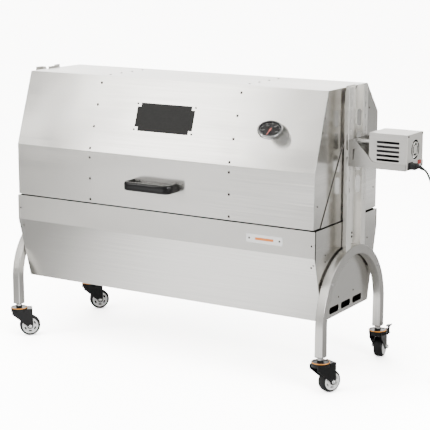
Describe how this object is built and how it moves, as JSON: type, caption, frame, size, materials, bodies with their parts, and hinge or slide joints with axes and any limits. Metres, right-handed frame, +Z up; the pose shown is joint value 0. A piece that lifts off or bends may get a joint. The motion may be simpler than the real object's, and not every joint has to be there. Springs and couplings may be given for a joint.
{
  "type": "spit roaster",
  "caption": "Hooded charcoal spit roaster in stainless sheet on arched legs and swivel casters, with a hinged lid, window, thermometer and electric spit drive.",
  "frame": {"origin": "on the floor, under the middle of the roaster's outline without its mains lead", "axes": "+X along the body towards the spit drive, -Y to the person using it, +Z up"},
  "size_m": [1.6849, 0.5806, 0.974],
  "materials": {
    "hood_sheet": "brushed stainless sheet, grain along the length",
    "end_sheet": "brushed stainless sheet",
    "trough_sheet": "brushed stainless sheet, grain along the length",
    "post_steel": "pressed stainless channel",
    "hinge_steel": "satin",
    "fastener_steel": "bright zinc",
    "plate_paint": "satin white",
    "tray_steel": "heat-darkened steel",
    "window_glass": "dark tempered glass",
    "handle_plastic": "black moulded heat-proof plastic",
    "thermometer_chrome": "polished",
    "dial_face": "matt black dial",
    "pointer_red": "light red",
    "lens_glass": "clear",
    "bush_bronze": "sintered bronze",
    "spit_steel": "bright drawn bar",
    "drive_steel": "satin stainless sheet",
    "fan_plastic": "black moulding",
    "gearmotor_metal": "grey",
    "switch_red": "red moulding",
    "cord_rubber": "black sheath",
    "leg_tube": "satin stainless tube",
    "caster_plastic": "black",
    "ring_orange": "orange moulding",
    "fork_metal": "gloss black",
    "hub_white": "pale grey moulding",
    "tyre_black": "black",
    "lever_metal": "black"
  },
  "bodies": {
    "stand": {"trough_shell": "trough_sheet", "base_end_right": "end_sheet", "base_end_left": "end_sheet", "spit_shields": "end_sheet", "blank_plate": "plate_paint", "base_fasteners": "fastener_steel", "charcoal_tray": "tray_steel", "hinge_lower_leaves": "hinge_steel", "hinge_pins": "hinge_steel", "post_right": "post_steel", "post_left": "post_steel", "bearing_bracket": "post_steel", "bearing_bush": "bush_bronze", "motor_bracket": "drive_steel", "motor_cover": "drive_steel", "motor_end_plate": "drive_steel", "gearmotor": "gearmotor_metal", "power_inlet": "fan_plastic", "cord_connector": "cord_rubber", "cord_tube": "cord_rubber", "cord_coil": "cord_rubber", "mains_plug": "cord_rubber", "leg_right": "leg_tube", "leg_left": "leg_tube", "caster_stems": "fastener_steel", "caster_caps": "caster_plastic", "caster_rings": "ring_orange"},
    "hood": {"hinge_upper_leaves": "hinge_steel", "hood_shell": "hood_sheet", "hood_end_right": "end_sheet", "hood_end_left": "end_sheet", "hood_ribs": "end_sheet", "hood_fasteners": "fastener_steel", "window_glass": "window_glass", "window_frame": "tray_steel", "hood_handle": "handle_plastic", "thermometer_case": "thermometer_chrome", "thermometer_dial": "dial_face", "thermometer_lens": "lens_glass"},
    "pointer": {"thermometer_pointer": "pointer_red"},
    "spit": {"spit_rod": "spit_steel", "spit_forks": "spit_steel", "fork_screws": "fastener_steel", "spit_coupling": "spit_steel"},
    "fan": {"fan_rotor": "fan_plastic"},
    "rocker": {"rocker_switch": "switch_red"},
    "caster_fl": {"caster_fork_fl": "fork_metal"},
    "wheel_fl": {"caster_hub_fl": "hub_white", "caster_tyre_fl": "tyre_black"},
    "caster_fr": {"caster_fork_fr": "fork_metal"},
    "wheel_fr": {"caster_hub_fr": "hub_white", "caster_tyre_fr": "tyre_black"},
    "caster_rl": {"caster_fork_rl": "fork_metal"},
    "wheel_rl": {"caster_hub_rl": "hub_white", "caster_tyre_rl": "tyre_black"},
    "brake_rl": {"brake_lever_rl": "lever_metal"},
    "caster_rr": {"caster_fork_rr": "fork_metal"},
    "wheel_rr": {"caster_hub_rr": "hub_white", "caster_tyre_rr": "tyre_black"},
    "brake_rr": {"brake_lever_rr": "lever_metal"}
  },
  "joints": [
    {"name": "hood_hinge", "type": "hinge", "parent": "stand", "child": "hood", "pos_m": [-0.07, 0.2322, 0.533], "axis": [-1, 0, 0], "range_deg": [0, 90]},
    {"name": "thermometer_needle", "type": "hinge", "parent": "hood", "child": "pointer", "pos_m": [0.36155, -0.22397, 0.84415], "axis": [-0.2068, 0.4978, -0.8423], "range_deg": [0, 270]},
    {"name": "spit_spin", "type": "hinge", "parent": "stand", "child": "spit", "pos_m": [-0.07, -0.0013, 0.792], "axis": [1, 0, 0], "continuous": true},
    {"name": "fan_spin", "type": "hinge", "parent": "stand", "child": "fan", "pos_m": [0.747, -0.0063, 0.785], "axis": [1, 0, 0], "continuous": true},
    {"name": "rocker_tip", "type": "hinge", "parent": "stand", "child": "rocker", "pos_m": [0.7645, 0.0247, 0.741], "axis": [0, 0, 1], "range_deg": [0, 16]},
    {"name": "swivel_fl", "type": "hinge", "parent": "stand", "child": "caster_fl", "pos_m": [-0.69, -0.2163, 0.098], "axis": [0, 0, 1], "continuous": true},
    {"name": "roll_fl", "type": "hinge", "parent": "caster_fl", "child": "wheel_fl", "pos_m": [-0.66176, -0.19087, 0.038], "axis": [-0.6691, 0.7431, 0], "continuous": true},
    {"name": "swivel_fr", "type": "hinge", "parent": "stand", "child": "caster_fr", "pos_m": [0.55, -0.2163, 0.098], "axis": [0, 0, 1], "continuous": true},
    {"name": "roll_fr", "type": "hinge", "parent": "caster_fr", "child": "wheel_fr", "pos_m": [0.56546, -0.18159, 0.038], "axis": [-0.9135, 0.4067, 0], "continuous": true},
    {"name": "swivel_rl", "type": "hinge", "parent": "stand", "child": "caster_rl", "pos_m": [-0.69, 0.2137, 0.098], "axis": [0, 0, 1], "continuous": true},
    {"name": "roll_rl", "type": "hinge", "parent": "caster_rl", "child": "wheel_rl", "pos_m": [-0.6636, 0.24103, 0.038], "axis": [-0.7193, 0.6947, 0], "continuous": true},
    {"name": "brake_rl", "type": "hinge", "parent": "caster_rl", "child": "brake_rl", "pos_m": [-0.71278, 0.24265, 0.096], "axis": [-0.6947, -0.7193, 0], "range_deg": [0, 15]},
    {"name": "swivel_rr", "type": "hinge", "parent": "stand", "child": "caster_rr", "pos_m": [0.55, 0.2137, 0.098], "axis": [0, 0, 1], "continuous": true},
    {"name": "roll_rr", "type": "hinge", "parent": "caster_rr", "child": "wheel_rr", "pos_m": [0.54406, 0.25123, 0.038], "axis": [-0.9877, -0.1564, 0], "continuous": true},
    {"name": "brake_rr", "type": "hinge", "parent": "caster_rr", "child": "brake_rr", "pos_m": [0.58527, 0.22435, 0.096], "axis": [-0.1564, 0.9877, 0], "range_deg": [0, 15]}
  ]
}
